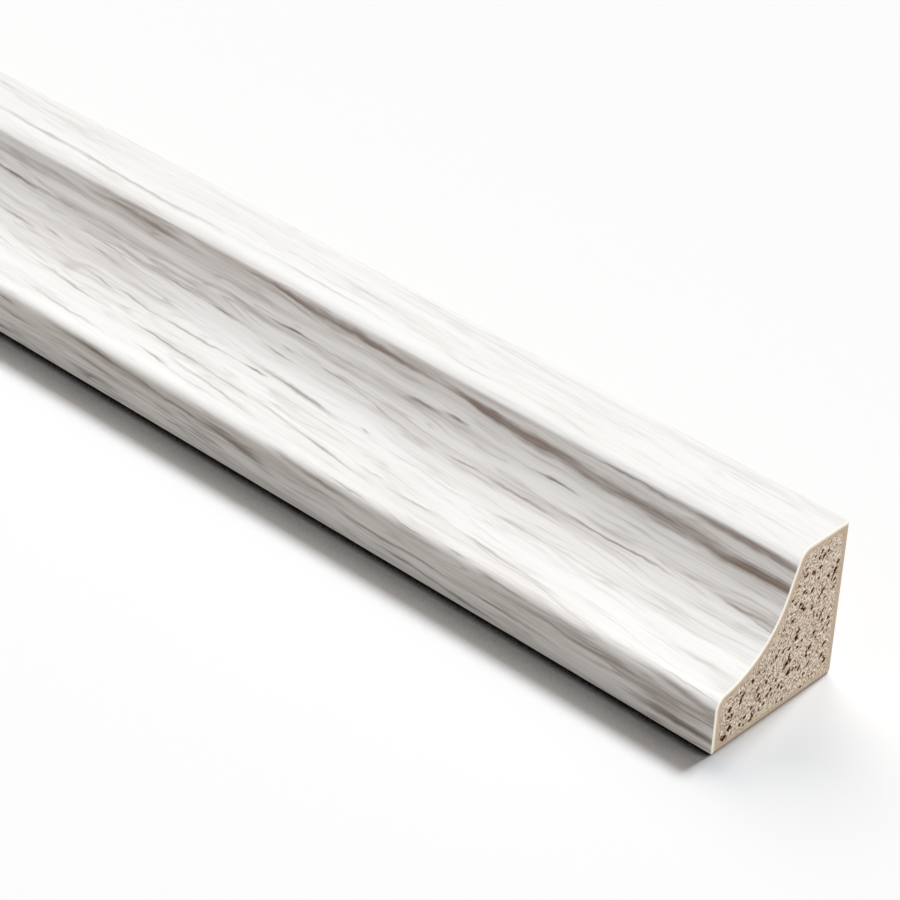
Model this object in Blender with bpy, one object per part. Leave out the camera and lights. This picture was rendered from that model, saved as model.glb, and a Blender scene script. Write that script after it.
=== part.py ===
"""Foil-wrapped scotia moulding: a length of concave trim for the corner between a floor and a skirting.

A pressed wood-fibre core is moulded to the scotia section, and a printed decor foil is glued round every
face that shows once the trim is fixed. The back and the underside stay bare.

The moulding lies on its underside, with its length along X, its cove facing -Y and its back on +Y. The
origin is under the middle of the length and of the width, on the floor. All sizes are in metres.
"""

import math

import bpy
from mathutils import Matrix, Vector

# Finished size, measured over the foil
STOCK_LENGTH = 2.4
SECTION_WIDTH = 0.019
SECTION_HEIGHT = 0.019
LIP_HEIGHT = 0.0067  # front face, up to the sharp corner that the toe rounds off
LEDGE_WIDTH = 0.0072  # top face, from the back to the sharp corner that the ridge rounds off

# Cove: an arc between two straight faces, one rising from the toe and one dropping from the ridge
TOE_SLOPE = math.radians(11)  # above the horizontal
RIDGE_SLOPE = math.radians(21)  # off the vertical

# Radii that the cutters leave on the core
COVE_RADIUS = 0.0115
TOE_RADIUS = 0.0014
RIDGE_RADIUS = 0.0015
HEEL_CHAMFER = 0.0003  # eases the edge that goes into the corner of the room

# Decor foil
FOIL_THICKNESS = 0.0003
GLUE_LINE = 0.00005
FOIL_TRIM = 0.0001  # the foil's lower edge is cut this far above the underside

# Steps along the round stretches
COVE_STEPS = 24
NOSE_STEPS = 10

# Colours as the photo shows them, in linear light
CORE_COLOUR = (0.51, 0.41, 0.31)
FOIL_COLOUR = (0.68, 0.66, 0.63)

CORE_INSET = FOIL_THICKNESS + GLUE_LINE


def clear_scene():
    for old in list(bpy.data.objects):
        bpy.data.objects.remove(old)


def principled(name, colour, roughness):
    material = bpy.data.materials.new(name)
    material.use_nodes = True
    shader = material.node_tree.nodes["Principled BSDF"]
    shader.inputs["Base Color"].default_value = (*colour, 1)
    shader.inputs["Roughness"].default_value = roughness
    shader.inputs["Metallic"].default_value = 0
    material.diffuse_color = (*colour, 1)
    return material


def meet(face, other):
    """Where two faces, each a (point, direction) seen end on, would cross."""
    (point, direction), (other_point, other_direction) = face, other
    along = (other_point - point).cross(other_direction) / direction.cross(other_direction)
    return point + direction * along


def half_turn(face, other):
    """Tangent of half the angle between two faces: a rounding's reach divided by its radius."""
    return math.tan(face[1].angle(other[1]) / 2)


def rounding(face, other, radius, steps):
    """Arc of this radius from one face onto the next."""
    direction, other_direction = face[1], other[1]
    side = math.copysign(1, direction.cross(other_direction))
    start = meet(face, other) - direction * radius * half_turn(face, other)
    centre = start + side * radius * Vector((-direction.y, direction.x))
    sweep = side * direction.angle(other_direction)
    return [centre + Matrix.Rotation(sweep * step / steps, 2) @ (start - centre) for step in range(steps + 1)]


def wrapped_line(inset, foot):
    """The outline that the foil follows, from its foot on the lip to the back edge of the ledge.

    It runs this far inside the finished faces. Each face moves in by the inset, and the radii grow or
    shrink with it about fixed centres, so that lines with different insets are parallel.
    """
    directions = [
        Vector((0, 1)),  # lip
        Vector((math.cos(TOE_SLOPE), math.sin(TOE_SLOPE))),
        Vector((math.sin(RIDGE_SLOPE), math.cos(RIDGE_SLOPE))),
        Vector((1, 0)),  # ledge
    ]
    toe_corner = Vector((0, LIP_HEIGHT))
    ridge_corner = Vector((SECTION_WIDTH - LEDGE_WIDTH, SECTION_HEIGHT))
    corners = [toe_corner, toe_corner, ridge_corner, ridge_corner]
    lip, toe_face, ridge_face, ledge = [
        (corner + inset * Vector((direction.y, -direction.x)), direction)
        for corner, direction in zip(corners, directions)
    ]

    outward = CORE_INSET - inset
    toe_radius = TOE_RADIUS + outward
    ridge_radius = RIDGE_RADIUS + outward
    cove_corner = meet(toe_face, ridge_face)
    toe_room = (cove_corner - meet(lip, toe_face)).length - toe_radius * half_turn(lip, toe_face)
    ridge_room = (meet(ridge_face, ledge) - cove_corner).length - ridge_radius * half_turn(ridge_face, ledge)
    widest_cove = min(toe_room, ridge_room) / half_turn(toe_face, ridge_face)
    cove_radius = min(COVE_RADIUS - outward, widest_cove)

    return [
        Vector((inset, foot)),
        *rounding(lip, toe_face, toe_radius, NOSE_STEPS),
        *rounding(toe_face, ridge_face, cove_radius, COVE_STEPS),
        *rounding(ridge_face, ledge, ridge_radius, NOSE_STEPS),
        Vector((SECTION_WIDTH, SECTION_HEIGHT - inset)),
    ]


def extruded(name, outline, material, collection):
    """A full length of stock with this section, given as (depth from the lip, height) points."""
    curve = bpy.data.curves.new(name, "CURVE")
    curve.dimensions = "2D"
    curve.fill_mode = "BOTH"
    curve.extrude = STOCK_LENGTH / 2
    spline = curve.splines.new("POLY")
    spline.points.add(len(outline) - 1)
    for point, (depth, height) in zip(spline.points, outline):
        point.co = (depth, height, 0, 1)
    spline.use_cyclic_u = True
    curve.materials.append(material)

    stock = bpy.data.objects.new(name, curve)
    # The curve's own x is the depth, its y the height, and it is extruded along the length.
    stock.rotation_euler = (math.pi / 2, 0, math.pi / 2)
    stock.location.y = -SECTION_WIDTH / 2
    collection.objects.link(stock)
    return stock


def make_core(collection):
    outline = [
        *wrapped_line(CORE_INSET, foot=0),
        Vector((SECTION_WIDTH, HEEL_CHAMFER)),
        Vector((SECTION_WIDTH - HEEL_CHAMFER, 0)),
    ]
    return extruded("core", outline, principled("wood_fibre", CORE_COLOUR, 0.9), collection)


def make_decor_foil(collection):
    outer = wrapped_line(0, foot=FOIL_TRIM)
    inner = wrapped_line(FOIL_THICKNESS, foot=FOIL_TRIM)
    outline = [*outer, *reversed(inner)]
    return extruded("decor_foil", outline, principled("printed_foil", FOIL_COLOUR, 0.45), collection)


def main():
    clear_scene()
    moulding = bpy.data.collections.new("scotia_moulding")
    bpy.context.scene.collection.children.link(moulding)
    make_core(moulding)
    make_decor_foil(moulding)


main()
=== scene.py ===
# %% [markdown]
# # A length of foil-wrapped scotia
#
# Scotia is the small concave trim that closes the corner between a floor and a skirting board. This length has a
# core of pressed wood fibre, cut square at both ends, and a printed foil that wraps every face that shows once
# the trim is fixed. The lesson dresses a finished CAD model: the two solids stay where they are, and each gets a
# detailed double.
#
# The frame is loaded first. Its solids are in metres, with the length along X, the cove facing -Y and the floor
# at Z = 0.

import math
import random

import bpy
from mathutils import Matrix, Vector, geometry, kdtree, noise


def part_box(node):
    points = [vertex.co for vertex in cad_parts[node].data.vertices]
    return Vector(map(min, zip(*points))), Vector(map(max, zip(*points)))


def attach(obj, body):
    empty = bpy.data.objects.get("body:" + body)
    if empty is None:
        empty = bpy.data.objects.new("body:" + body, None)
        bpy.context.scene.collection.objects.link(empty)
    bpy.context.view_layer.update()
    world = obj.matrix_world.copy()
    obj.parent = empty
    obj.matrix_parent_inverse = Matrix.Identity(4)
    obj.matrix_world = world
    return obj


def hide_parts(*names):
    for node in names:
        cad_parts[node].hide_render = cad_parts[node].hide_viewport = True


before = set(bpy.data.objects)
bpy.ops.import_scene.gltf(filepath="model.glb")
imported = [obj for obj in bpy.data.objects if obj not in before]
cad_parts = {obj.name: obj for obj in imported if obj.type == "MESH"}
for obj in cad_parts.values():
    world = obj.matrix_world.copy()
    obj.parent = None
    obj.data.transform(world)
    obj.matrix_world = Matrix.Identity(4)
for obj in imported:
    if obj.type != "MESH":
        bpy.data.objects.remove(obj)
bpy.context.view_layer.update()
scene = bpy.context.scene
MM = 0.001
HALF_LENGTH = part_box("core")[1].x
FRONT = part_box("decor_foil")[0].y  # the lip's face
print("nodes:", sorted(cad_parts), "half length:", round(HALF_LENGTH, 4))

# %% [markdown]
# ## The section
#
# Everything on this part follows one outline: up the lip, round the toe, through the cove, round the ridge and
# back along the ledge. A curve object with a bevel could sweep it, but then the foil and the core would each need
# a drawing of their own. A function that draws the outline at any depth below the finished face serves both, and
# lines at different depths stay parallel, as foil and core do in a real wrapping machine.
#
# The numbers are the cutters' own: two straight faces meet the cove's arc, and two small radii ease the corners.

# %% Draw the wrapped outline
WIDTH = HEIGHT = 19 * MM
LIP_HEIGHT, LEDGE_WIDTH = 6.7 * MM, 7.2 * MM
TOE_SLOPE, RIDGE_SLOPE = math.radians(11), math.radians(21)
TOE_RADIUS, COVE_RADIUS, RIDGE_RADIUS = 1.4 * MM, 11.5 * MM, 1.5 * MM  # on the core
FOIL, GLUE = 0.3 * MM, 0.05 * MM
FOOT = 0.1 * MM  # the foil's lower edge is trimmed this far above the underside
NOSE_STEPS, COVE_STEPS = 20, 90


def crossing(face, other):
    """Where two faces, each a (point, direction) seen end on, would meet."""
    (point, way), (other_point, other_way) = face, other
    return point + way * ((other_point - point).cross(other_way) / way.cross(other_way))


def reach(face, other):
    """How far along a face its rounding starts, as a share of the radius."""
    return math.tan(face[1].angle(other[1]) / 2)


def rounded(face, other, radius, steps):
    """The arc that eases the corner between two faces."""
    way, other_way = face[1], other[1]
    side = math.copysign(1, way.cross(other_way))
    start = crossing(face, other) - way * radius * reach(face, other)
    centre = start + side * radius * Vector((-way.y, way.x))
    turn = side * way.angle(other_way)
    return [centre + Matrix.Rotation(turn * i / steps, 2) @ (start - centre) for i in range(steps + 1)]


def wrapped_outline(depth, foot):
    """(distance from the lip's face, height) points, this deep below the finished face, from foot to back."""
    ways = [
        Vector((0, 1)),
        Vector((math.cos(TOE_SLOPE), math.sin(TOE_SLOPE))),
        Vector((math.sin(RIDGE_SLOPE), math.cos(RIDGE_SLOPE))),
        Vector((1, 0)),
    ]
    toe, ridge = Vector((0, LIP_HEIGHT)), Vector((WIDTH - LEDGE_WIDTH, HEIGHT))
    lip, toe_face, ridge_face, ledge = [
        (corner + depth * Vector((way.y, -way.x)), way) for corner, way in zip((toe, toe, ridge, ridge), ways)
    ]
    out = FOIL + GLUE - depth
    toe_radius, ridge_radius = TOE_RADIUS + out, RIDGE_RADIUS + out
    hollow = crossing(toe_face, ridge_face)
    toe_room = (hollow - crossing(lip, toe_face)).length - toe_radius * reach(lip, toe_face)
    ridge_room = (crossing(ridge_face, ledge) - hollow).length - ridge_radius * reach(ridge_face, ledge)
    cove_radius = min(COVE_RADIUS - out, min(toe_room, ridge_room) / reach(toe_face, ridge_face))
    return [
        Vector((depth, foot)),
        *rounded(lip, toe_face, toe_radius, NOSE_STEPS),
        *rounded(toe_face, ridge_face, cove_radius, COVE_STEPS),
        *rounded(ridge_face, ledge, ridge_radius, NOSE_STEPS),
        Vector((WIDTH, HEIGHT - depth)),
    ]


def unrolled(outline):
    """How far each point is from the first along the outline."""
    along = [0.0]
    for before, after in zip(outline, outline[1:]):
        along.append(along[-1] + (after - before).length)
    return along


face_line = wrapped_outline(0, FOOT)
GIRTH = unrolled(face_line)[-1]
print("the foil is", round(GIRTH / MM, 2), "mm wide when unrolled, in", len(face_line), "points")

# %% [markdown]
# ## A mesh from rings
#
# Both pieces are lengths of stock, so their long faces are rings of the outline joined along X. Loft tools do the
# same, but a few lines of code say exactly where each ring lies, and leave room for a number on each point. Every
# point carries its place on the unrolled foil, in millimetres: how far it is from the sawn end, and how far up
# from the lip's foot. Printed foil is flat when the pattern goes on, so the print is worked out in those numbers.
#
# Every face also gets a place on the picture that its finish is baked into when the model leaves Blender. An
# automatic layout would shrink 2.4 metres into that picture and leave a sawn end eight pixels wide.

# %% Make meshes with a place on the flat foil
CREASE = math.radians(40)  # corners sharper than this stay crisp, and roundings stay smooth


def stock_mesh(name, points, faces, places, slots, picture):
    """A mesh from points, faces, (along, across) places in millimetres, and each face's slot and picture corners."""
    mesh = bpy.data.meshes.new(name)
    mesh.from_pydata(points, [], faces)
    place = mesh.attributes.new("print_place", "FLOAT_VECTOR", "POINT")
    for spot, (along, across) in zip(place.data, places):
        spot.vector = (along, across, 0)
    mesh.polygons.foreach_set("material_index", slots)
    mesh.polygons.foreach_set("use_smooth", [True] * len(faces))
    layout = mesh.uv_layers.new(name="OFBake")
    layout.uv.foreach_set("vector", [number for corners in picture for spot in corners for number in spot])
    mesh.set_sharp_from_angle(angle=CREASE)
    piece = bpy.data.objects.new(name, mesh)
    scene.collection.objects.link(piece)
    return piece


def in_frame(x, spot):
    """A point of the section, (distance from the lip, height), at this place along the length."""
    return (x, FRONT + spot[0], spot[1])


print("corners of more than", round(math.degrees(CREASE)), "degrees stay crisp")

# %% [markdown]
# ## The foil
#
# The real foil is a third of a millimetre of printed film. A solidify modifier on a bent sheet would give it a
# thickness, but not the crisp sawn edge that shows as a cream line round the end. Here the sheet has its own outer
# and inner outline and a tiny bevel where the saw came through, and the sawn edge has a slot for its own colour.

# %% Plan the foil's rings and its picture
BEVEL = 0.06 * MM
STRIPS = 4  # the print lies on its picture in this many strips, one above another
STRIP_FOOT, STRIP, STRIP_HEIGHT = 0.003, 0.235, 0.2303  # the lowest foot, from one to the next, and how high
MARGIN = 0.002  # left and right of a strip
SPARE, BAND = 0.942, 0.008  # above the strips, narrow bands for the faces without print
INSIDE, BACK_TRIM, FOOT_TRIM, NEAR_BEVEL, FAR_BEVEL, NEAR_CUT, FAR_CUT = range(7)


def foil_rings():
    """(x, depth of the outer line) for each ring along the length."""
    inner = [HALF_LENGTH * (2 * i / STRIPS - 1) for i in range(1, STRIPS)]
    ends = [(-HALF_LENGTH, BEVEL), (BEVEL - HALF_LENGTH, 0)]
    return ends + [(x, 0) for x in inner] + [(-x, depth) for x, depth in reversed(ends)]


def band(number):
    """The bottom and top of a narrow band."""
    return SPARE + BAND * number, SPARE + BAND * (number + 0.75)


rings = foil_rings()
print("rings along the foil, in mm from the middle:", [round(x / MM, 2) for x, _ in rings])


# %% Wrap the foil
def make_foil():
    print_slot, edge_slot = 0, 1
    count = len(face_line)
    across = [s / MM for s in unrolled(face_line)]
    share = [s * MM / GIRTH for s in across]
    points, places, faces, slots, picture = [], [], [], [], []

    def add(face, slot, corners, flip=False):
        faces.append(face[::-1] if flip else face)
        picture.append(corners[::-1] if flip else corners)
        slots.append(slot)

    for x, depth in rings:
        for line in (wrapped_outline(depth, FOOT), wrapped_outline(FOIL, FOOT)):
            points += [in_frame(x, spot) for spot in line]
            places += [((HALF_LENGTH - x) / MM, s) for s in across]
    for ring in range(len(rings) - 1):
        here, there = ring * 2 * count, (ring + 1) * 2 * count
        begin, end = [(x / HALF_LENGTH + 1) / 2 for x, _ in rings[ring : ring + 2]]
        strip = int((begin + end) / 2 * STRIPS)
        left, right = [MARGIN + (1 - 2 * MARGIN) * (value * STRIPS - strip) for value in (begin, end)]
        bevelled = ring in (0, len(rings) - 2)
        for i in range(count - 1):
            face = (here + i, here + i + 1, there + i + 1, there + i)
            one, next_one = share[i], share[i + 1]
            if bevelled:
                low, high = band(NEAR_BEVEL if ring else FAR_BEVEL)
                add(face, edge_slot, [(one, low), (next_one, low), (next_one, high), (one, high)])
            else:
                low, high = [STRIP_FOOT + STRIP * strip + STRIP_HEIGHT * value for value in (one, next_one)]
                add(face, print_slot, [(left, low), (left, high), (right, high), (right, low)])
        bottom, top = band(INSIDE)
        for i in range(count - 1):
            low, high = [bottom + (top - bottom) * value for value in (share[i], share[i + 1])]
            face = (here + count + i + 1, here + count + i, there + count + i, there + count + i + 1)
            add(face, edge_slot, [(begin, high), (begin, low), (end, low), (end, high)])
        for i in (0, count - 1):  # the trimmed edges at the foot and at the back
            low, high = band(BACK_TRIM if i else FOOT_TRIM)
            face = (here + i, there + i, there + count + i, here + count + i)
            add(face, edge_slot, [(begin, low), (end, low), (end, high), (begin, high)], flip=i > 0)
    for here in (0, (len(rings) - 1) * 2 * count):  # the two sawn ends
        low, high = band(NEAR_CUT if here else FAR_CUT)
        for i in range(count - 1):
            one, next_one = share[i], share[i + 1]
            face = (here + i, here + count + i, here + count + i + 1, here + i + 1)
            add(face, edge_slot, [(one, low), (one, high), (next_one, high), (next_one, low)], flip=here > 0)
    return stock_mesh("wrapped_foil", points, faces, places, slots, picture)


foil = make_foil()
print("foil:", len(foil.data.polygons), "faces")

# %% [markdown]
# ## The core and its sawn ends
#
# The sides of the core are plain moulded faces, but its ends are where a saw has opened the board. Resin and dense
# fibre make a smooth band about a millimetre deep along every face, and between those bands the board is full of
# small voids. A bump map would show them from one side only, so the voids are real dents: each end is a fine
# triangle mesh, and its points are pushed into the board.
#
# The mesh comes from a Delaunay triangulation, which takes the outline as its border and fills it with whatever
# points it is given. The points lie in staggered rows, less than a tenth of a millimetre apart.

# %% Fill the end with a fine mesh
GRAIN = 0.085 * MM  # distance between points on the sawn end
RIM_GRAIN = 1.6 * GRAIN  # and along its outline
SCATTER, CLEARANCE = 0.25 * GRAIN, 0.75 * GRAIN  # a point strays this far, and stays this far from the outline
HEEL = 0.3 * MM
ON_FACE = 0.01 * MM  # closer to a face than this is on it


def spaced(outline, step):
    """The closed outline with extra points, so that none are further apart than this."""
    line = []
    for before, after in zip(outline, outline[1:] + outline[:1]):
        parts = max(1, round((after - before).length / step))
        line += [before.lerp(after, i / parts) for i in range(parts)]
    return line


core_line = spaced([*wrapped_outline(FOIL, 0), Vector((WIDTH, HEEL)), Vector((WIDTH - HEEL, 0))], RIM_GRAIN)


def tree_of(spots):
    """A search tree over flat points."""
    tree = kdtree.KDTree(len(spots))
    for i, spot in enumerate(spots):
        tree.insert((*spot, 0), i)
    tree.balance()
    return tree


rim_tree = tree_of(core_line)
foil_tree = tree_of([spot for spot in core_line if spot.x < WIDTH - ON_FACE and spot.y > ON_FACE])


def from_rim(spot):
    """How far a point of the end is from the core's outline."""
    return rim_tree.find((*spot, 0))[2]


def filling(seed):
    """Points inside the outline, in staggered rows with a little scatter."""
    scatter = random.Random(seed)
    spots = []
    pairs = list(zip(core_line, core_line[1:] + core_line[:1]))
    for row in range(1, int(HEIGHT / GRAIN)):
        height = row * GRAIN
        cuts = sorted(
            a.x + (b.x - a.x) * (height - a.y) / (b.y - a.y) for a, b in pairs if (a.y <= height) != (b.y <= height)
        )
        for begin, end in zip(cuts[::2], cuts[1::2]):
            for column in range(int((end - begin) / GRAIN) + 1):
                spot = Vector((begin + (column + 0.5 * (row % 2)) * GRAIN, height))
                spot += Vector((scatter.uniform(-1, 1), scatter.uniform(-1, 1))) * SCATTER
                if begin < spot.x < end and from_rim(spot) > CLEARANCE:
                    spots.append(spot)
    return spots


print("the core's outline has", len(core_line), "points round it")

# %% [markdown]
# The voids lean the same way, about 48 degrees up from the floor, because the fibres were pressed that way. On the
# near end the largest are placed one by one. The small ones, some 450, are scattered with a fixed seed, so the same
# board is cut each time, and they keep off the dense band along the outline.

# %% Place the voids
LEAN = math.radians(48)
VOIDS = 480  # on each end, with the placed ones
LARGE_VOIDS = [  # distance from the lip, height, length, width and depth in millimetres, then the lean in degrees
    (12.4, 7.9, 0.75, 0.6, 0.45, 60), (11.2, 5.3, 1.5, 0.42, 0.40, 50), (4.3, 5.0, 1.1, 0.45, 0.45, 50),
    (2.6, 1.9, 0.8, 0.65, 0.45, 30), (6.2, 1.2, 1.05, 0.45, 0.45, 50), (11.7, 3.9, 0.8, 0.6, 0.28, 70),
    (16.0, 12.0, 0.85, 0.42, 0.40, 55), (14.2, 12.9, 0.7, 0.45, 0.35, 60), (12.4, 12.0, 0.6, 0.42, 0.42, 60),
    (18.0, 14.5, 0.55, 0.4, 0.40, 60), (17.7, 13.4, 0.45, 0.3, 0.32, 45), (16.3, 9.0, 1.6, 0.26, 0.30, 58),
    (17.4, 4.6, 0.78, 0.42, 0.36, 48), (14.9, 5.4, 0.6, 0.42, 0.42, 60), (13.5, 3.6, 0.75, 0.3, 0.36, 65),
    (11.4, 10.5, 0.55, 0.42, 0.32, 60), (14.5, 4.7, 0.5, 0.32, 0.34, 60), (6.7, 4.5, 0.8, 0.36, 0.38, 62),
    (8.1, 4.7, 0.5, 0.38, 0.30, 60), (9.7, 4.1, 0.45, 0.38, 0.34, 60), (17.8, 11.4, 0.5, 0.28, 0.26, 70),
    (17.6, 7.8, 0.45, 0.38, 0.32, 60), (16.9, 6.7, 0.5, 0.26, 0.30, 60), (17.2, 3.1, 0.7, 0.42, 0.24, 65),
    (17.8, 2.2, 0.7, 0.4, 0.26, 65), (10.4, 7.3, 0.6, 0.3, 0.26, 60), (9.3, 7.2, 0.5, 0.36, 0.24, 60),
    (14.8, 16.6, 0.55, 0.32, 0.26, 40), (15.5, 16.5, 0.6, 0.36, 0.26, 50), (1.8, 1.1, 0.9, 0.6, 0.20, 50),
    (4.3, 1.4, 0.5, 0.3, 0.28, 60), (2.4, 4.4, 0.7, 0.45, 0.22, 50), (15.0, 3.3, 0.65, 0.28, 0.28, 65),
]


def in_core(spot):
    """True inside the core's outline: a line drawn to the right crosses it an odd number of times."""
    crossings = 0
    for a, b in zip(core_line, core_line[1:] + core_line[:1]):
        if (a.y <= spot.y) != (b.y <= spot.y):
            crossings += a.x + (b.x - a.x) * (spot.y - a.y) / (b.y - a.y) > spot.x
    return crossings % 2 == 1


def voids_for(seed, placed):
    """Voids as (centre, half length, half width, depth, lean, darkness). The near end has the placed ones."""
    chance = random.Random(seed)
    voids = [
        (Vector((along, high)) * MM, length * MM / 2.05, width * MM / 1.9, depth * MM, math.radians(lean), 1.0)
        for along, high, length, width, depth, lean in (LARGE_VOIDS if placed else [])
    ]
    while len(voids) < VOIDS:
        spot = Vector((chance.uniform(0, WIDTH), chance.uniform(0, HEIGHT)))
        inside = from_rim(spot)
        if spot.y >= HEIGHT - FOIL or inside >= 9 * MM or not in_core(spot):
            continue
        if inside < chance.uniform(0.5, 1.5) * MM:
            continue
        size = 0.12 + 0.42 * chance.random() ** (3.6 if placed else 2.8)  # most are small
        voids.append((
            spot,
            size * chance.uniform(0.4, 0.66) * MM,
            size * chance.uniform(0.3, 0.48) * MM,
            size * chance.uniform(0.35, 0.75) * MM,
            LEAN + chance.gauss(0, 0.35),
            min(1.0, 0.2 + size * 2.0),
        ))
    return voids


print(len(LARGE_VOIDS), "of", VOIDS, "voids are placed by hand on the near end")

# %% [markdown]
# Between the voids the saw tears the board, which leaves a fine unevenness with the same lean, and only the dense
# band stays flat. Both are a push of the mesh's points into the board. Each point also keeps how dark its void is
# painted, partly brown board and partly painted shade, and how open the board is there, and the colour uses those
# numbers afterwards.

# %% Push the points into the board
RIM, OPENING = 0.28 * MM, 0.85 * MM  # flat this far from the outline, and fully open this much further in
WALL = 0.3 * MM  # no void opens closer to the outline than this


def torn_fibre(spot, seed):
    """The fine unevenness of the sawn board, drawn out along the lean: about -1 to 1."""
    along = (spot.x * math.cos(LEAN) + spot.y * math.sin(LEAN)) / MM
    across = (spot.y * math.cos(LEAN) - spot.x * math.sin(LEAN)) / MM
    coarse = noise.noise((along * 1.5, across * 3.2, seed))
    fine = noise.noise((along * 3.4, across * 6.4, seed + 9))
    return coarse + 0.8 * fine


def sawn_end(seed, placed):
    """(spots, triangles, push, void darkness in brown and painted shade, openness) for one end, with the outline's
    points first.
    """
    spots = core_line + filling(seed)
    border = [(i, (i + 1) % len(core_line)) for i in range(len(core_line))]
    made = geometry.delaunay_2d_cdt(spots, border, [list(range(len(core_line)))], 1, 1e-7)
    spots, triangles = [Vector(spot) for spot in made[0]], [tuple(face) for face in made[2]]
    middle = [min(1, max(0, (from_rim(spot) - RIM) / OPENING)) for spot in spots]
    push = [max(0, 0.03 + 0.035 * torn_fibre(spot, seed)) * MM * m for spot, m in zip(spots, middle)]
    hollow = [0.0] * len(spots)
    tree = tree_of(spots)
    for centre, length, width, depth, lean, dark in voids_for(seed, placed):
        way = Vector((math.cos(lean), math.sin(lean)))
        for place, i, _ in tree.find_range((*centre, 0), length * 1.3):
            offset = Vector(place[:2]) - centre
            ragged = 1 + 0.5 * noise.noise((place[0] / MM * 4, place[1] / MM * 4, seed + 3))
            away = math.hypot(offset.dot(way) / length, offset.cross(way) / width) * ragged
            if away < 1 and from_rim(spots[i]) > WALL:
                dent = depth * min(1, 1.5 * (1 - away * away))
                push[i] = max(push[i], dent)
                # how dark the void is painted, strongest in its middle: partly brown board and partly painted shade
                hollow[i] = max(hollow[i], dark * min(1, 2.2 * (1 - away * away)))
    return spots, triangles, push, hollow, middle


print("the board is flat for", round(RIM / MM, 2), "mm and open from", round((RIM + OPENING) / MM, 2), "mm")

# %% [markdown]
# The core is one mesh: a ring of the outline at each end with the long faces between, and the two fine end caps
# sewn onto those rings. The cap's own border points are the ring, so nothing gapes. On the picture, the long faces
# share the lower half and each end has a quarter of its own.

# %% Build the core
GLUED = 0.32 * MM  # the paler band beside the foil fades out this far in
SIDES_MIDDLE, SIDES_REACH, SIDES_FOOT, SIDES_HEIGHT = 0.5, 0.496, 0.004, 0.49  # the long faces in the picture
NEAR_QUARTER, FAR_QUARTER = Vector((0.008, 0.506)), Vector((0.508, 0.506))  # the corners of the ends' quarters
QUARTER = 0.484  # and how wide a sawn end is there


def make_core():
    end_slot, side_slot = 0, 1
    ease = 0.03 * MM  # a short ring at each end keeps the shading of the long faces level
    rings = [-HALF_LENGTH, ease - HALF_LENGTH, 0, HALF_LENGTH - ease, HALF_LENGTH]
    count = len(core_line)
    points, places, section = [], [], []
    faces, slots, picture = [], [], []
    round_line = [s / MM for s in unrolled(core_line + core_line[:1])]
    for x in rings:
        points += [in_frame(x, spot) for spot in core_line]
        places += [((HALF_LENGTH - x) / MM, s) for s in round_line[:-1]]
        section += core_line
    hollow, middle = [0.0] * len(points), [0.0] * len(points)
    for ring in range(len(rings) - 1):
        left, right = [SIDES_MIDDLE + SIDES_REACH * x / HALF_LENGTH for x in rings[ring : ring + 2]]
        for i in range(count):
            j = (i + 1) % count
            low, high = [SIDES_FOOT + SIDES_HEIGHT * s / round_line[-1] for s in round_line[i : i + 2]]
            faces.append((ring * count + i, ring * count + j, (ring + 1) * count + j, (ring + 1) * count + i))
            picture.append([(left, low), (left, high), (right, high), (right, low)])
            slots.append(side_slot)
    for side, seed, placed, corner in ((1, 11, True, NEAR_QUARTER), (-1, 29, False, FAR_QUARTER)):
        spots, triangles, push, depth, inner = sawn_end(seed, placed)
        ring = (len(rings) - 1 if side > 0 else 0) * count
        number = {}
        for i, spot in enumerate(spots):
            if i < count:
                number[i] = ring + i
            else:
                number[i] = len(points)
                points.append(in_frame(side * (HALF_LENGTH - push[i]), spot))
                places.append((0, 0))
                section.append(spot)
                hollow.append(depth[i])
                middle.append(inner[i])
        for face in triangles:
            faces.append([number[i] for i in face][::side])
            picture.append([corner + spots[i] * (QUARTER / WIDTH) for i in face][::side])
            slots.append(end_slot)
        print("sawn end", side, "has", len(triangles), "triangles, deepest void", round(max(push) / MM, 2), "mm")
    piece = stock_mesh("pressed_core", points, faces, places, slots, picture)
    glued = [max(0.0, 1 - foil_tree.find((*spot, 0))[2] / GLUED) for spot in section]
    for name, values in (("void", hollow), ("open_board", middle), ("glued", glued)):
        layer = piece.data.attributes.new(name, "FLOAT", "POINT")
        layer.data.foreach_set("value", values)
    layer = piece.data.attributes.new("section_place", "FLOAT_VECTOR", "POINT")
    for spot, value in zip(section, layer.data):
        value.vector = (spot.x / MM, spot.y / MM, 0)
    return piece


core = make_core()
print("core:", len(core.data.polygons), "faces")

# %% [markdown]
# ## Shader sums in plain Python
#
# Materials in this lesson are worked out by shader nodes, but a long chain of nodes is hard to read. The class
# below wraps one socket, so that adding or multiplying two of them adds the right node: a Math node for values,
# a Vector Math node for places.

# %% One class for a socket
class Wire:
    """An output socket that Python's own arithmetic works on."""

    def __init__(self, finish, socket):
        self.finish, self.socket = finish, socket

    def sum(self, operation, *terms):
        kind = "VectorMath" if self.socket.type == "VECTOR" else "Math"
        return self.finish.node(kind, {"operation": operation}, *terms)

    def __add__(self, other):
        return self.sum("ADD", self, other)

    def __sub__(self, other):
        return self.sum("SUBTRACT", self, other)

    def __rsub__(self, other):
        return self.sum("SUBTRACT", other, self)

    def __mul__(self, other):
        return self.sum("MULTIPLY", self, other)

    def __truediv__(self, other):
        return self.sum("DIVIDE", self, other)

    __radd__, __rmul__ = __add__, __mul__

    def beside(self, output):
        """Another output of the same node."""
        return Wire(self.finish, self.socket.node.outputs[output])


print("sockets understand + - * /")

# %% [markdown]
# Any other node comes from one method, `node`, which takes its kind, its settings and then whatever goes into its
# sockets. The world and the materials share it. A finish is a material whose Principled shader is ready, with
# names for the few patterns that this lesson uses again and again.


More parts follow.
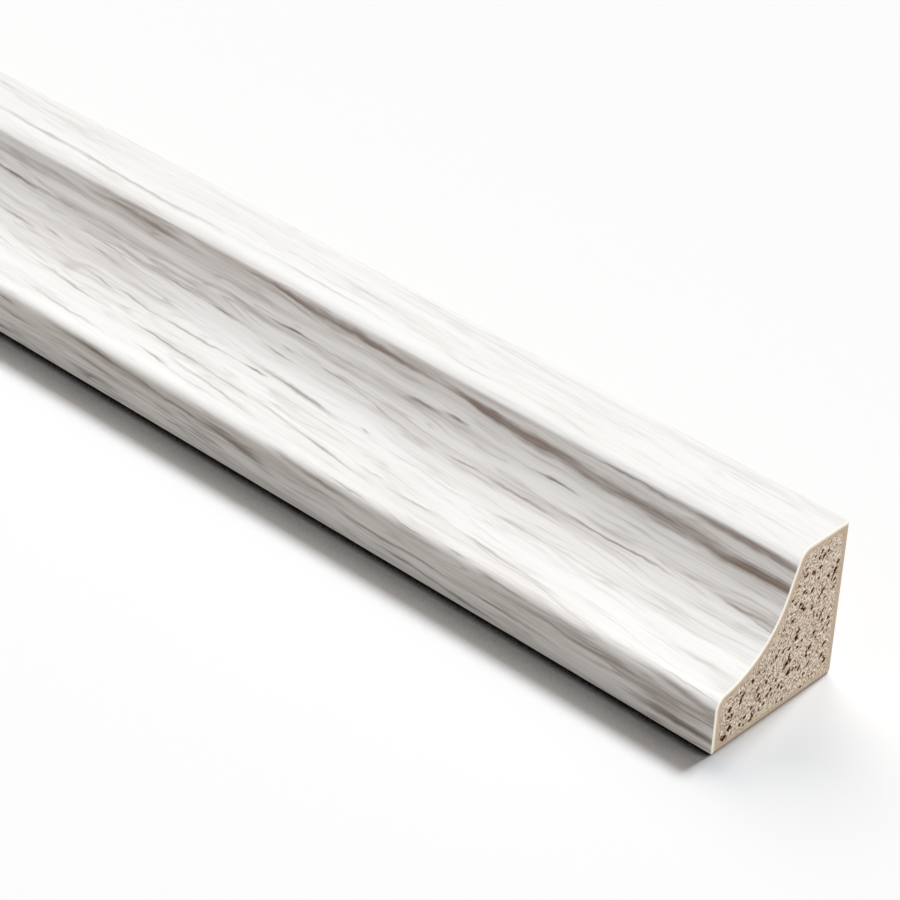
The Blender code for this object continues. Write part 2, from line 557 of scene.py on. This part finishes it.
# %% One class for a node tree and one for a finish
class Nodes:
    """The nodes of a material or of the world, while they are being written."""

    def __init__(self, owner):
        owner.use_nodes = True
        self.tree = owner.node_tree

    def put(self, value, socket):
        """Links a wire to this socket, or sets the socket to a number or a colour."""
        if isinstance(value, Wire):
            self.tree.links.new(value.socket, socket)
        else:
            socket.default_value = value

    def node(self, kind, settings=None, *values, out=0, **named):
        """A new node: its settings first, then what goes into its sockets, in order or by name."""
        made = self.tree.nodes.new("ShaderNode" + kind)
        for setting, value in (settings or {}).items():
            if setting == "stops":
                stops = made.color_ramp.elements
                while len(stops) < len(value):
                    stops.new(1)
                for stop, (position, shade) in zip(stops, value):
                    stop.position, stop.color = position, (shade, shade, shade, 1)
            else:
                setattr(made, setting, value)
        for i, value in enumerate(values):
            if value is not None:
                self.put(value, made.inputs[i])
        for name, value in named.items():
            self.put(value, made.inputs[name.replace("_", " ")])
        return Wire(self, made.outputs[out])


class Finish(Nodes):
    """A material with its Principled shader ready."""

    def __init__(self, name, **constants):
        self.material = bpy.data.materials.new(name)
        super().__init__(self.material)
        self.shader = self.tree.nodes["Principled BSDF"]
        for socket, value in constants.items():
            self.shader.inputs[socket.replace("_", " ")].default_value = value

    def feed(self, **sockets):
        """Links values that change over the surface to the shader."""
        for name, value in sockets.items():
            self.put(value, self.shader.inputs[name.replace("_", " ")])

    def place(self, name):
        """A place kept on the mesh's points."""
        return self.node("Attribute", {"attribute_name": name}, out="Vector")

    def number(self, name):
        """A number kept on the mesh's points."""
        return self.node("Attribute", {"attribute_name": name}, out="Fac")

    def speckle(self, place, along, across, detail=2, seed=0.0):
        """Noise from 0 to 1 whose blotches are about this many millimetres long and wide."""
        squeezed = place * (1 / along, 1 / across, 1)
        return self.node(
            "TexNoise", {"noise_dimensions": "3D"}, squeezed + (seed, seed * 0.7, seed), Scale=1, Detail=detail
        )

    def ease(self, value, low, high):
        """0 below low, 1 above high and a soft step between."""
        return self.node("MapRange", {"interpolation_type": "SMOOTHSTEP"}, value, low, high, 0.0, 1.0)

    def mix(self, share, first, second):
        """A colour between two colours."""
        return self.node("Mix", {"data_type": "RGBA"}, share, None, None, None, None, None, first, second, out=2)


print("a finish knows:", [name for name in vars(Finish) if not name.startswith("_")])

# %% [markdown]
# ## The printed grain
#
# The foil carries a photograph-like print of white-washed, weathered oak: a warm white ground, soft grey streaks a
# few centimetres long that taper at both ends, finer fibres between them, and a few dark taupe streaks on the lip
# and under the ridge. All lines climb slightly away from the sawn end, and sway as real growth rings do.
#
# So the first step is a set of coordinates that climbs and sways with them. Whatever is drawn in it follows the
# grain.

# %% Lay out the grain's coordinates
print_finish = Finish("printed_grain", Roughness=0.42, Specular_IOR_Level=0.45)
CLIMB = 0.036  # millimetres up for each millimetre from the sawn end

flat = print_finish.place("print_place")
slow_sway = print_finish.speckle(flat, 55, 16, 1, 3.1) - 0.5
quick_sway = print_finish.speckle(flat, 9, 3.5, 1, 7.7) - 0.5
shiver = print_finish.speckle(flat, 1.6, 0.8, 1, 5.2) - 0.5


def shifted(place, up):
    """The place moved across the grain by a number that varies."""
    return place + print_finish.node("CombineXYZ", None, 0.0, up, 0.0)


along = print_finish.node("SeparateXYZ", None, flat)
across = along.beside("Y")
grain = shifted(flat, slow_sway * 2.4 + quick_sway * 1.0 + shiver * 0.1 - along * CLIMB)
print("the grain climbs", round(math.degrees(math.atan(CLIMB)), 1), "degrees away from the sawn end")

# %% [markdown]
# Stretched noise alone gives stripes without ends. Streaks with ends can be had from a Voronoi texture: stretched
# along the grain, the distance to each cell's seed is a spindle, and the cell's own random colour says how
# strongly that spindle is inked. Three sizes of them are laid over each other.


# %% Scatter tapered streaks
def streaks(length, width, share, seed):
    """Spindles about this long and wide in millimetres, inked in this share of the cells."""
    cell = grain * (1 / (length * 1.25), 1 / (width * 1.25), 1) + (seed, seed * 1.7, 0)
    away = print_finish.node("TexVoronoi", {"voronoi_dimensions": "2D"}, cell, Scale=1, Randomness=1, out="Distance")
    chosen = print_finish.ease(print_finish.node("SeparateColor", None, away.beside("Color")), 1 - share, 1)
    spindle = print_finish.node("Math", {"operation": "SUBTRACT", "use_clamp": True}, 1.0, away * 2.2)
    return spindle * chosen


bold = streaks(36, 2.0, 0.45, 4.0)
medium = streaks(30, 1.0, 0.5, 11.0)
hair = streaks(21, 0.5, 0.5, 23.0)
scattered = bold * 1.5 + medium * 0.8 + hair * 0.5
print("scattered streaks:", len(print_finish.tree.nodes), "nodes so far")

# %% [markdown]
# The streaks that give this length its look near the sawn end are placed one by one. One is a sphere gradient
# squashed to a spindle by a Mapping node in texture mode, where location, rotation and scale are simply the
# streak's own. The list gives each one from its end nearer the cut to its far end. A printed foil repeats where
# the print cylinder has turned once, so the placed streaks come back every 790 mm.

# %% Place the streaks near the sawn end
REPEAT = 790.0
LEAD_IN = 30.0  # the print starts this far before the sawn end
STREAKS = [  # from and to along, from and to across, thickness in millimetres, strength
    # ridge
    (-9, 9, 19.9, 20.1, 1.7, 1.0), (1, 36, 20.0, 20.9, 2.0, 1.15), (27, 48, 20.8, 21.4, 1.2, 0.9),
    (-10, 22, 22.4, 22.5, 1.2, 1.05), (14, 42, 22.45, 22.6, 0.3, 0.6), (48.5, 62, 21.6, 21.9, 0.9, 1.1),
    (56, 71, 21.8, 22.2, 0.8, 1.1), (66, 78, 22.0, 22.4, 0.5, 1.0), (37, 46, 21.35, 21.5, 0.8, 0.8),
    (58, 77, 20.5, 22.0, 0.25, 0.5), (85, 102, 21.5, 22.0, 0.75, 1.15), (87, 93, 22.2, 22.3, 0.5, 0.7),
    (101, 124, 21.0, 21.2, 2.6, 0.42), (102, 130, 18.9, 18.9, 0.5, 1.0), (80, 102, 18.6, 18.8, 0.8, 0.4),
    # upper cove
    (27, 33, 18.1, 18.3, 0.35, 1.3), (42, 46, 18.7, 18.8, 0.45, 1.15), (46, 51.5, 18.5, 18.6, 0.5, 1.35),
    (55, 67, 18.4, 18.6, 0.45, 0.7), (66, 72, 18.6, 18.7, 0.5, 1.0), (71, 82, 18.6, 18.6, 0.5, 0.4),
    (12, 30, 16.3, 16.7, 1.6, 0.5), (13, 29, 15.5, 15.7, 0.35, 0.85), (26, 42, 14.7, 15.2, 0.45, 0.85),
    (-4, 6, 15.2, 15.9, 0.4, 0.85), (-4, 7, 16.2, 15.8, 0.35, 0.75), (-3, 12, 14.0, 14.8, 1.2, 0.4),
    (76, 81, 16.6, 16.7, 0.45, 0.95), (67, 72, 15.7, 16.1, 0.3, 0.85), (67, 69.5, 16.4, 16.8, 0.25, 0.8),
    (57, 65, 16.2, 16.9, 0.25, 0.65), (51, 57.5, 15.1, 16.3, 0.3, 0.7), (44, 57, 16.0, 17.1, 0.25, 0.5),
    (45.5, 50.5, 14.7, 14.9, 0.25, 0.6), (39, 44, 15.3, 15.1, 0.3, 0.6), (45, 60, 13.5, 15.0, 0.4, 0.3),
    (80, 94, 16.8, 17.0, 0.35, 0.8), (94.5, 101, 15.4, 16.1, 0.3, 0.75), (99, 106, 15.3, 16.1, 0.25, 0.5),
    (104, 109, 14.9, 15.5, 0.4, 0.7), (108, 116, 14.4, 14.9, 0.4, 0.75),
    # lower cove
    (-4, 18, 11.5, 12.0, 0.9, 0.45), (14, 42, 12.2, 11.9, 0.53, 0.58), (40, 53, 12.1, 12.3, 0.38, 0.51),
    (53, 55, 12.6, 13.0, 0.28, 0.75), (57, 73, 12.4, 13.7, 0.65, 1.05), (68.5, 72.5, 12.7, 12.9, 0.38, 1.0),
    (71, 82, 12.8, 12.8, 0.38, 0.65), (50, 66, 8.0, 9.7, 0.42, 0.9), (63, 83, 9.6, 10.3, 0.33, 0.72),
    (66, 81, 8.0, 9.0, 0.42, 0.8), (68, 82, 7.4, 7.7, 0.38, 0.51), (46.5, 52, 9.1, 9.3, 0.38, 0.72),
    (39, 47, 8.6, 8.6, 0.38, 0.65), (19, 41, 7.4, 8.6, 0.5, 0.78), (-4, 12, 8.9, 9.7, 1.1, 0.55),
    (93, 99.5, 12.6, 13.3, 0.38, 1.0), (87, 94, 12.8, 13.2, 0.38, 1.0), (78, 88, 12.8, 12.8, 0.38, 0.72),
    (91, 109, 10.2, 11.5, 0.43, 0.8), (78, 91, 10.2, 10.7, 0.38, 0.8), (87, 107, 7.4, 8.5, 0.38, 0.8),
    (79, 86, 7.8, 8.4, 0.38, 0.8),
    # toe
    (32.5, 37, 5.8, 6.0, 0.25, 0.9), (36, 44, 5.2, 5.4, 0.9, 0.6), (-2, 8.5, 6.1, 6.5, 0.25, 0.8),
    (-2, 11, 4.8, 6.1, 1.0, 0.85), (46.5, 54.5, 5.7, 6.5, 0.3, 0.9), (38, 46, 5.8, 6.0, 0.3, 0.7),
    (46, 63, 4.6, 5.9, 0.95, 1.05), (80, 99, 4.4, 5.5, 1.3, 1.1), (103.5, 108, 5.1, 5.2, 0.6, 0.9),
    # lip
    (22, 33, 4.2, 4.5, 0.45, 0.8), (9, 22, 4.2, 4.7, 0.45, 0.8), (17, 38, 1.7, 2.7, 0.45, 0.85),
    (-3, 11, 1.4, 1.7, 1.0, 1.3), (27, 41, 0.3, 1.1, 0.45, 0.9), (50, 60, 3.7, 3.8, 0.45, 0.6),
    (71, 83, 3.7, 4.5, 0.8, 0.6), (61.5, 72, 2.7, 4.2, 1.1, 1.1), (38, 52, 2.6, 2.8, 0.6, 1.2),
    (38, 48, 1.0, 1.7, 0.6, 0.75), (66, 82, 0.9, 1.8, 0.45, 0.75), (84, 98, 2.5, 3.7, 0.7, 0.6),
    (86, 96, 1.1, 1.7, 0.6, 0.85), (100, 108, 3.2, 3.8, 0.7, 0.75), (103, 112, 0.9, 1.0, 0.7, 1.0),
    # ledge
    (2, 20, 27.7, 29.5, 0.4, 0.49), (21, 28, 27.7, 28.4, 0.3, 0.56), (-2, 11, 25.2, 26.2, 0.6, 0.42),
    (51, 70, 26.6, 27.6, 0.6, 0.7), (52, 80, 24.4, 25.5, 0.4, 0.63), (40, 50.5, 24.4, 25.0, 0.3, 0.6),
    (80, 104, 24.8, 25.0, 0.65, 0.95), (100, 124, 25.0, 25.7, 0.65, 0.95),
]

from_cut = print_finish.node("Math", {"operation": "WRAP"}, along, REPEAT - LEAD_IN, -LEAD_IN)
hand = print_finish.node("CombineXYZ", None, from_cut, across + quick_sway * 0.9 + shiver * 0.32, 0.0)
placed = 0.0
for begin, end, low, high, thickness, strength in STREAKS:
    spindle = print_finish.node(
        "Mapping", {"vector_type": "TEXTURE"}, hand,
        ((begin + end) / 2, (low + high) / 2, 0),
        (0, 0, math.atan2(high - low, end - begin)),
        (0.72 * (end - begin), 0.72 * thickness, 1),
    )
    shape = print_finish.node("TexGradient", {"gradient_type": "SPHERICAL"}, spindle, out=1)
    placed = shape * (1.05 * strength) + placed
print(len(STREAKS), "placed streaks,", len(print_finish.tree.nodes), "nodes so far")

# %% [markdown]
# The ink goes on by place. The print is palest on the ledge and in the bottom of the cove, and darkest on the lip
# and under the ridge, so ramps across the foil say how much of the fine grain and of the streaks shows, and where
# a soft wash of ink lies. Less of the grain and the streaks shows on the ridge's rounding, a painted highlight. The
# wash is set by the photograph's own tones, so some of it is painted shade: under the ridge, along the top of the
# lip and at the lip's foot it is both ink and painted shade. Where the placed streaks are, the scattered ones step
# back.

# %% Say where the ink shows
PRINT_WIDTH = 31.5  # millimetres, a little more than the foil has


def by_place(*stops):
    """A value that changes from the lip's foot, at 0, to the back of the ledge. The places are in millimetres."""
    stops = [(s / PRINT_WIDTH, value) for s, value in stops]
    return print_finish.node("ValToRGB", {"stops": stops}, across / PRINT_WIDTH)


# both ramps dip on the ridge's rounding, from about 23 mm, as a painted highlight: less ink shows there
shows = by_place(
    (0, 1.0), (5.3, 0.9), (6.3, 0.5), (8, 0.5), (13, 0.6), (17.5, 0.8), (19.5, 0.6), (22.6, 0.6), (23.1, 0.3),
    (25.0, 0.4), (31.5, 0.4),
)
streak_shows = by_place(
    (0, 1.0), (5.3, 0.95), (6.3, 0.75), (13, 0.9), (17.5, 1.0), (22.6, 1.0), (23.05, 0.3), (24.0, 0.45), (25.0, 0.62),
    (31.5, 0.6),
)
# partly a wash of ink and partly painted shade: under the ridge, along the top of the lip and at the lip's foot it
# darkens the foil as shade would
ink_wash_and_painted_shade = by_place(
    (0, 0.14), (1.0, 0.02), (2.5, 0.04), (4.0, 0.36), (5.5, 0.38), (5.9, 0.0), (7.3, 0.05), (9, 0.04), (11.5, 0.02),
    (14, 0.1), (15.4, 0.24), (16.6, 0.22), (18.3, 0.4), (19.3, 0.31), (20.3, 0.43), (21.3, 0.66), (22.6, 0.6),
    (23.0, 0.0), (29.4, 0.0), (30.2, 0.11), (31.0, 0.0),
)
stray = by_place((0, 0.2), (16.5, 0.2), (18, 0.08), (22.9, 0.08), (23.5, 0.2), (31.5, 0.2))
before_placed = 1.0 - print_finish.ease(from_cut, -LEAD_IN, -12.0)
after_placed = print_finish.ease(from_cut, 112.0, 150.0)
scatter_share = after_placed + before_placed
print("places set:", len(print_finish.tree.nodes), "nodes so far")

# %% [markdown]
# Between the streaks lie veins, soft bands and threads, then fibres a tenth of a millimetre wide and slow changes
# of tone, which keep the ground from looking like paint. A vein is where a stretched noise passes through its
# middle value: such lines wander, fork and end as a real one does.

# %% Draw the fine grain
patches = print_finish.speckle(grain, 45, 3.5, 2, 12.3)


def vein(length, width, thin, seed):
    """Fine lines about this long and this far apart in millimetres, and narrower where thin is smaller."""
    wander = print_finish.speckle(grain, length, width, 2, seed) - 0.5
    gaps = print_finish.speckle(grain, length * 0.8, width * 0.6, 1, seed + 5) + patches * 0.5
    away = print_finish.node("Math", {"operation": "ABSOLUTE"}, wander)
    return (1.0 - print_finish.ease(away, 0.0, thin)) * print_finish.ease(gaps, 0.66, 0.92)


inside = print_finish.ease(print_finish.speckle(grain, 9, 0.28, 3, 1.9), 0.3, 0.7)
worn = print_finish.ease(print_finish.speckle(grain, 6, 0.9, 2, 17.1), 0.3, 0.62)
feathered = placed * 1.5 + scattered * (scatter_share * 0.9 + stray) - (1.0 - inside) * 0.24 - (1.0 - worn) * 0.2
streaked = print_finish.ease(feathered, -0.05, 1.75) * (0.7 + inside * 0.2 + worn * 0.18)
soft = print_finish.ease(print_finish.speckle(grain, 26, 0.8, 3, 6.6) + patches * 0.5, 0.62, 1.0)
threads = print_finish.ease(print_finish.speckle(grain, 12, 0.2, 3, 4.9) + patches * 0.4, 0.68, 0.92)
veins = vein(26, 1.9, 0.045, 15.5) + vein(15, 1.0, 0.06, 31.2)
fibres = print_finish.speckle(grain, 5, 0.13, 3, 2.3) - 0.5
tone = print_finish.speckle(grain, 80, 3.2, 2, 8.1) - 0.5
fine = soft * 0.2 + threads * 0.09 + veins * (scatter_share * 0.3 + 0.36)
faint = fine * shows + ink_wash_and_painted_shade * (0.75 + soft * 0.5) + fibres * 0.1 + tone * 0.16
print("fine grain drawn:", len(print_finish.tree.nodes), "nodes so far")

# %% [markdown]
# The ground is a warm white, yellower on the lip and in patches. A taupe ink carries the fine grain, and a darker
# one the streaks. In the photograph the two roundings are almost burnt out, and lamps strong enough for that would
# bleach the flat faces too. So the last ramp is a painted highlight: it leaves the print palest on the two
# roundings and takes about a tenth off all the rest. Then comes the relief, which a fingertip would hardly feel.

# %% Mix the ink
GROUND, LIP_GROUND, WARM_PATCH = (0.986, 0.979, 0.96, 1), (0.985, 0.935, 0.865, 1), (0.979, 0.953, 0.927, 1)
FAINT_INK, INK, BLACK = (0.412, 0.353, 0.32, 1), (0.2, 0.148, 0.118, 1), (0, 0, 0, 1)
ground = print_finish.mix(by_place((0, 1.0), (4.8, 0.9), (6.2, 0.0)), GROUND, LIP_GROUND)
ground = print_finish.mix(print_finish.ease(patches, 0.45, 0.75) * 0.7, ground, WARM_PATCH)
inked = print_finish.mix(faint, ground, FAINT_INK)
inked = print_finish.mix(streaked * streak_shows, inked, INK)
# painted highlight: the toe's and the ridge's roundings keep the full colour, and the rest is darkened by about a
# tenth
painted_highlight = by_place(
    (0, 0.915), (5.0, 0.915), (5.9, 0.88), (6.4, 0.985), (6.75, 0.99), (7.1, 0.935), (7.5, 0.885), (22.7, 0.89),
    (23.15, 1.0), (23.85, 1.0), (24.05, 0.96), (24.3, 0.915), (24.6, 0.88), (25.2, 0.885), (31.5, 0.885),
)
colour = print_finish.mix(painted_highlight, BLACK, inked)
pores = print_finish.speckle(grain, 1.3, 0.16, 2, 21.4) - 0.5
relief = print_finish.node("Bump", None, 0.5, 0.03 * MM, Height=fibres * 0.5 + pores * 0.8 - streaked * 0.4)
print_finish.feed(Base_Color=colour, Roughness=0.42 + fibres * 0.12 + streaked * 0.05, Normal=relief)
print("printed grain:", len(print_finish.tree.nodes), "nodes")

# %% [markdown]
# The sawn edge of the foil is unprinted film, cream and a little waxy. It is a narrow line, but it frames the end
# of the moulding, so it has its own small finish with a trace of saw marks.

# %% Finish the sawn edge of the foil
edge_finish = Finish("foil_sawn_edge", Roughness=0.5)
marks = edge_finish.speckle(edge_finish.place("print_place"), 2.0, 0.5, 3, 4.4)
edge_finish.feed(
    Base_Color=edge_finish.mix(marks, (0.90, 0.83, 0.69, 1), (0.97, 0.93, 0.83, 1)),
    Roughness=0.42 + marks * 0.2,
)
foil.data.materials.append(print_finish.material)
foil.data.materials.append(edge_finish.material)
print("sawn edge:", len(edge_finish.tree.nodes), "nodes")

# %% [markdown]
# ## Pressed fibre
#
# The board is beige, and under the saw it turns into a mixture of pale torn fibre and darker resin. The colour
# follows the place on the section and the numbers that the points keep: how open the board is, how dark a void is
# painted, and how near the foil is, where the photograph shows a paler band, perhaps of glue. Noise a few tenths of
# a millimetre long leans with the fibres. The voids are dark brown as in the photograph, partly board colour and
# partly painted shade in their deep middles. A thin dark line along the bottom edge, where the board stands on the
# floor, is painted shade.

# %% Finish the sawn ends
end_finish = Finish("sawn_board", Roughness=0.9, Specular_IOR_Level=0.08)
end_place = end_finish.place("section_place")
void = end_finish.number("void")
open_board = end_finish.number("open_board")
leaning = end_finish.node(
    "Mapping", {"vector_type": "TEXTURE"}, end_place, (0, 0, 0), (0, 0, LEAN), (1, 1, 1)
)
crumbs = end_finish.speckle(leaning, 0.27, 0.19, 3, 2.2)
flecks = end_finish.speckle(leaning, 0.34, 0.16, 1, 6.3)
clouds = end_finish.speckle(leaning, 2.6, 1.4, 2, 9.4)
dense = end_finish.mix(clouds, (0.49, 0.373, 0.268, 1), (0.575, 0.459, 0.34, 1))
dense = end_finish.mix(end_finish.number("glued"), dense, (0.75, 0.632, 0.505, 1))
torn = end_finish.mix(end_finish.ease(crumbs, 0.38, 0.62), (0.29, 0.208, 0.145, 1), (0.83, 0.707, 0.575, 1))
board = end_finish.mix(open_board * 0.85 + 0.1, dense, torn)
pale = end_finish.mix(end_finish.ease(flecks, 0.60, 0.68) * open_board, board, (0.96, 0.885, 0.78, 1))
# the voids: brown at their edges and near black in their deep middles, partly board colour and partly painted shade
rim_brown = end_finish.mix(end_finish.ease(void, 0.0, 0.28), pale, (0.29, 0.15, 0.08, 1))
brown = end_finish.mix(end_finish.ease(void, 0.22, 0.7), rim_brown, (0.055, 0.022, 0.012, 1))
# painted shade: the lowest 0.3 mm of the sawn end, along the edge on the floor, darkens to a dark brown
height = end_finish.node("SeparateXYZ", None, end_place, out="Y")
with_painted_bottom_shade = end_finish.mix(end_finish.ease(height, 0.04, 0.3), (0.235, 0.19, 0.155, 1), brown)
end_relief = end_finish.node("Bump", None, 0.8, 0.06 * MM, Height=crumbs * (open_board * 0.8 + 0.2))
end_finish.feed(Base_Color=with_painted_bottom_shade, Roughness=0.8 + crumbs * 0.2, Normal=end_relief)
print("sawn board:", len(end_finish.tree.nodes), "nodes")

# %% [markdown]
# The back and the underside are bare too, but a moulding cutter has planed them: a closed, brushed face with
# short fibres lying along the length, a faint ripple from the cutter every few millimetres and the odd open pore.

# %% Finish the moulded sides of the core
side_finish = Finish("moulded_board", Roughness=0.8, Specular_IOR_Level=0.3)
side_place = side_finish.place("print_place")
mottle = side_finish.speckle(side_place, 14, 4, 3, 5.5)
brushed = side_finish.speckle(side_place, 2.2, 0.16, 2, 3.3)
open_pores = side_finish.ease(side_finish.speckle(side_place, 0.9, 0.3, 1, 8.8), 0.70, 0.80)
planed = side_finish.mix(brushed * 0.6 + mottle * 0.4, (0.50, 0.39, 0.29, 1), (0.68, 0.56, 0.44, 1))
side_brown = side_finish.mix(open_pores, planed, (0.24, 0.15, 0.095, 1))
ripple = side_finish.node(
    "TexWave", {"wave_type": "BANDS", "bands_direction": "X", "wave_profile": "SIN"},
    side_place, Scale=0.1, Distortion=0.6, Detail=1, out=1,
)
side_relief = side_finish.node("Bump", None, 0.4, 0.03 * MM, Height=brushed * 0.7 + ripple * 0.35 - open_pores)
side_finish.feed(Base_Color=side_brown, Roughness=0.74 + brushed * 0.16, Normal=side_relief)
core.data.materials.append(end_finish.material)
core.data.materials.append(side_finish.material)
print("finishes:", [slot.name for slot in (*foil.data.materials, *core.data.materials)])

# %% [markdown]
# ## Join the pieces to the frame
#
# Each double replaces its own solid and rides on the part's one body, so that the model and the simulation share
# one frame.

# %% Replace the solids
for piece, node_name in ((core, "core"), (foil, "decor_foil")):
    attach(piece, "root")
    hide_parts(node_name)
    print(piece.name, "replaces", node_name)

# %% [markdown]
# ## Floor, backdrop and light
#
# The moulding lies on a white sweep. In a real studio the white ground is burnt out by extra light, which would
# also bleach the object. Here the floor and the world are simply whiter to the camera, and to what glass and metal
# show of them, than to the light that bounces off them.
#
# The photograph's shadow is darkest in a line under the lip. A sun's soft shadow alone is too even for that, so
# two AmbientOcclusion nodes shade the floor, a wide and a narrow one. They look backwards, because the line lies
# in front of the moulding and not behind it.

# %% Lay the floor
FLOOR_RADIUS, FLOOR_CORNERS = 14, 64  # metres, and corners round the edge
WHITE, BOUNCED, DARKEST = (0.981, 0.981, 0.981, 1), (0.62, 0.62, 0.62, 1), (0.014, 0.011, 0.009, 1)
BACKWARDS = (0.0, 0.92, 0.39)


def floor_mesh():
    mesh = bpy.data.meshes.new("floor")
    turns = [i * math.tau / FLOOR_CORNERS for i in range(FLOOR_CORNERS)]
    rim = [(FLOOR_RADIUS * math.cos(a), FLOOR_RADIUS * math.sin(a), 0) for a in turns]
    mesh.from_pydata(rim, [], [tuple(range(FLOOR_CORNERS))])
    sheet = bpy.data.objects.new("floor", mesh)
    scene.collection.objects.link(sheet)
    return sheet


def seen_directly(nodes):
    """1 for the camera and for what glass and metal show, 0 for the light that bounces off."""
    rays = nodes.node("LightPath", out="Is Camera Ray")
    seen = rays
    for kind in ("Is Glossy Ray", "Is Transmission Ray"):
        seen = nodes.node("Math", {"operation": "MAXIMUM"}, seen, rays.beside(kind))
    return seen


floor = floor_mesh()
floor_finish = Finish("white_floor", Roughness=0.9, Specular_IOR_Level=0.0)
backwards = floor_finish.node("CombineXYZ", None, *BACKWARDS)  # the node takes a direction only from a link
open_back = floor_finish.node("AmbientOcclusion", {"samples": 8}, None, 8 * MM, backwards, out="AO")
contact = floor_finish.node("AmbientOcclusion", {"samples": 8}, None, 1.6 * MM, backwards, out="AO")
shade = floor_finish.ease(open_back, 0.25, 0.5) * floor_finish.ease(contact, 0.5, 0.75)
shaded_white = floor_finish.mix(shade, DARKEST, WHITE)
floor_finish.feed(Base_Color=floor_finish.mix(seen_directly(floor_finish), BOUNCED, shaded_white))
floor.data.materials.append(floor_finish.material)
print("floor:", 2 * FLOOR_RADIUS, "m across,", len(floor_finish.tree.nodes), "nodes")

# %% [markdown]
# The world is white behind the moulding, but gives only a little soft light from all round, so that no side is
# black.

# %% Set the world
SOFT_LIGHT = 0.10
scene.world = bpy.data.worlds.new("studio")
sky = Nodes(scene.world)
background = sky.tree.nodes["Background"]
sky.put((1, 1, 1, 1), background.inputs["Color"])
sky.put(sky.node("MapRange", None, seen_directly(sky), To_Min=SOFT_LIGHT, To_Max=1.0), background.inputs["Strength"])
print("soft light from all round:", SOFT_LIGHT)

# %% [markdown]
# The floor and the moulding have lamps of their own, joined by light linking: the photograph's floor is lit from
# behind the moulding, and its faces from in front and from above. A lamp on the floor may then be a little warm or
# cool, as the photograph's shade is, and never tints the moulding.


# %% Hang the lamps
def lamp(name, azimuth, elevation, strength, angle, lit, colour=(1, 1, 1)):
    """A sun from this direction, in degrees, azimuth from +X towards +Y. Strength is as lit on a level face."""
    sun = bpy.data.lights.new(name, "SUN")
    a, e = math.radians(azimuth), math.radians(elevation)
    towards = Vector((math.cos(a) * math.cos(e), math.sin(a) * math.cos(e), math.sin(e)))
    sun.energy = strength * math.pi / math.sin(e)
    sun.angle = math.radians(angle)
    sun.color = colour
    ob = bpy.data.objects.new(name, sun)
    ob.rotation_euler = towards.to_track_quat("Z", "Y").to_euler()
    ob.location = towards * 3
    scene.collection.objects.link(ob)
    receivers = bpy.data.collections.new(name + "_lights")
    for piece in lit:
        receivers.objects.link(piece)
    ob.light_linking.receiver_collection = receivers
    print("lamp", name, "at", round(strength, 2))


lamp("key_on_moulding", -90, 76, 0.72, 24, [foil, core])
lamp("soft_on_moulding", 90, 89, 0.18, 150, [foil, core])
lamp("fill_on_end", 5, 10, 0.09, 30, [core, foil])
lamp("key_on_floor", 91, 52, 0.63, 13, [floor], (0.966, 1.003, 1.04))
lamp("soft_on_floor", 140, 46, 0.26, 36, [floor], (1.082, 0.993, 0.903))

# %% [markdown]
# ## Camera
#
# The photograph was taken with a long lens, close to the sawn end and looking down along the cove. The camera was
# solved from the corners of the end and the long edges, so it is given by its angles, its tilt about its own
# axis, and where the bottom of the sawn end lies in its view.

# %% Aim the camera
FRAME, FOCAL_PIXELS, SENSOR = 900, 3272.8, 36  # the photograph's width in pixels, its lens in pixels, millimetres
AZIMUTH, ELEVATION, TILT = math.radians(41.52), math.radians(34.29), math.radians(2.79)
ASIDE, BELOW, AWAY = 32.18 * MM, -26.36 * MM, 328.1 * MM
back = Vector((
    math.sin(AZIMUTH) * math.cos(ELEVATION), -math.cos(AZIMUTH) * math.cos(ELEVATION), math.sin(ELEVATION)
))
right = Vector((0, 0, 1)).cross(back).normalized()
up = back.cross(right)
cam_x = math.cos(TILT) * right + math.sin(TILT) * up
cam_y = -math.sin(TILT) * right + math.cos(TILT) * up
camera_place = Vector((HALF_LENGTH, 0, 0)) - ASIDE * cam_x - BELOW * cam_y + AWAY * back
camera_data = bpy.data.cameras.new("camera")
camera_data.lens = FOCAL_PIXELS / FRAME * SENSOR
camera_data.sensor_width = SENSOR
camera_data.clip_start, camera_data.clip_end = 0.01, 50
camera = bpy.data.objects.new("camera", camera_data)
pose = Matrix((cam_x, cam_y, back)).transposed().to_4x4()
pose.translation = camera_place
camera.matrix_world = pose
scene.collection.objects.link(camera)
scene.camera = camera
scene.view_settings.view_transform = "Standard"
print("camera at", [round(v, 4) for v in camera_place], "with a lens of", round(camera_data.lens, 1), "mm")

# %% [markdown]
